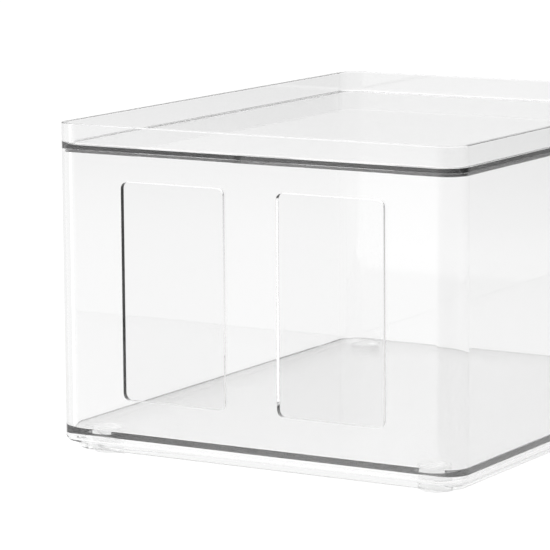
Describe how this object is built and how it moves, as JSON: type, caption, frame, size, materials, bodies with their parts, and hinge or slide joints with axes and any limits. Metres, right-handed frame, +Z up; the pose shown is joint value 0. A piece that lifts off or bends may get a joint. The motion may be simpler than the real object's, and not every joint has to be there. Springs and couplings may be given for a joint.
{
  "type": "stackable storage bin",
  "caption": "Clear rectangular storage bin with rounded corners, windows cut through its front wall, a stepped-in base and a lift-off tray lid on which another bin stacks.",
  "frame": {"origin": "centre of the footprint, on the surface that the bin stands on", "axes": "+Z up, +Y from the windowed front wall to the back wall, +X to the right as seen from the front"},
  "size_m": [0.2, 0.262, 0.1468],
  "materials": {
    "clear_plastic": "crystal clear, polished",
    "soft_pad": "soft, translucent, satin"
  },
  "bodies": {
    "bin": {"bin_body": "clear_plastic", "base_ring": "clear_plastic", "foot_pad_front_left": "soft_pad", "foot_pad_front_right": "soft_pad", "foot_pad_rear_left": "soft_pad", "foot_pad_rear_right": "soft_pad"},
    "lid": {"lid": "clear_plastic"}
  },
  "joints": [
    {"name": "lid_lift", "type": "slide", "parent": "bin", "child": "lid", "axis": [0, 0, 1], "range_m": [0, 0.08]}
  ]
}
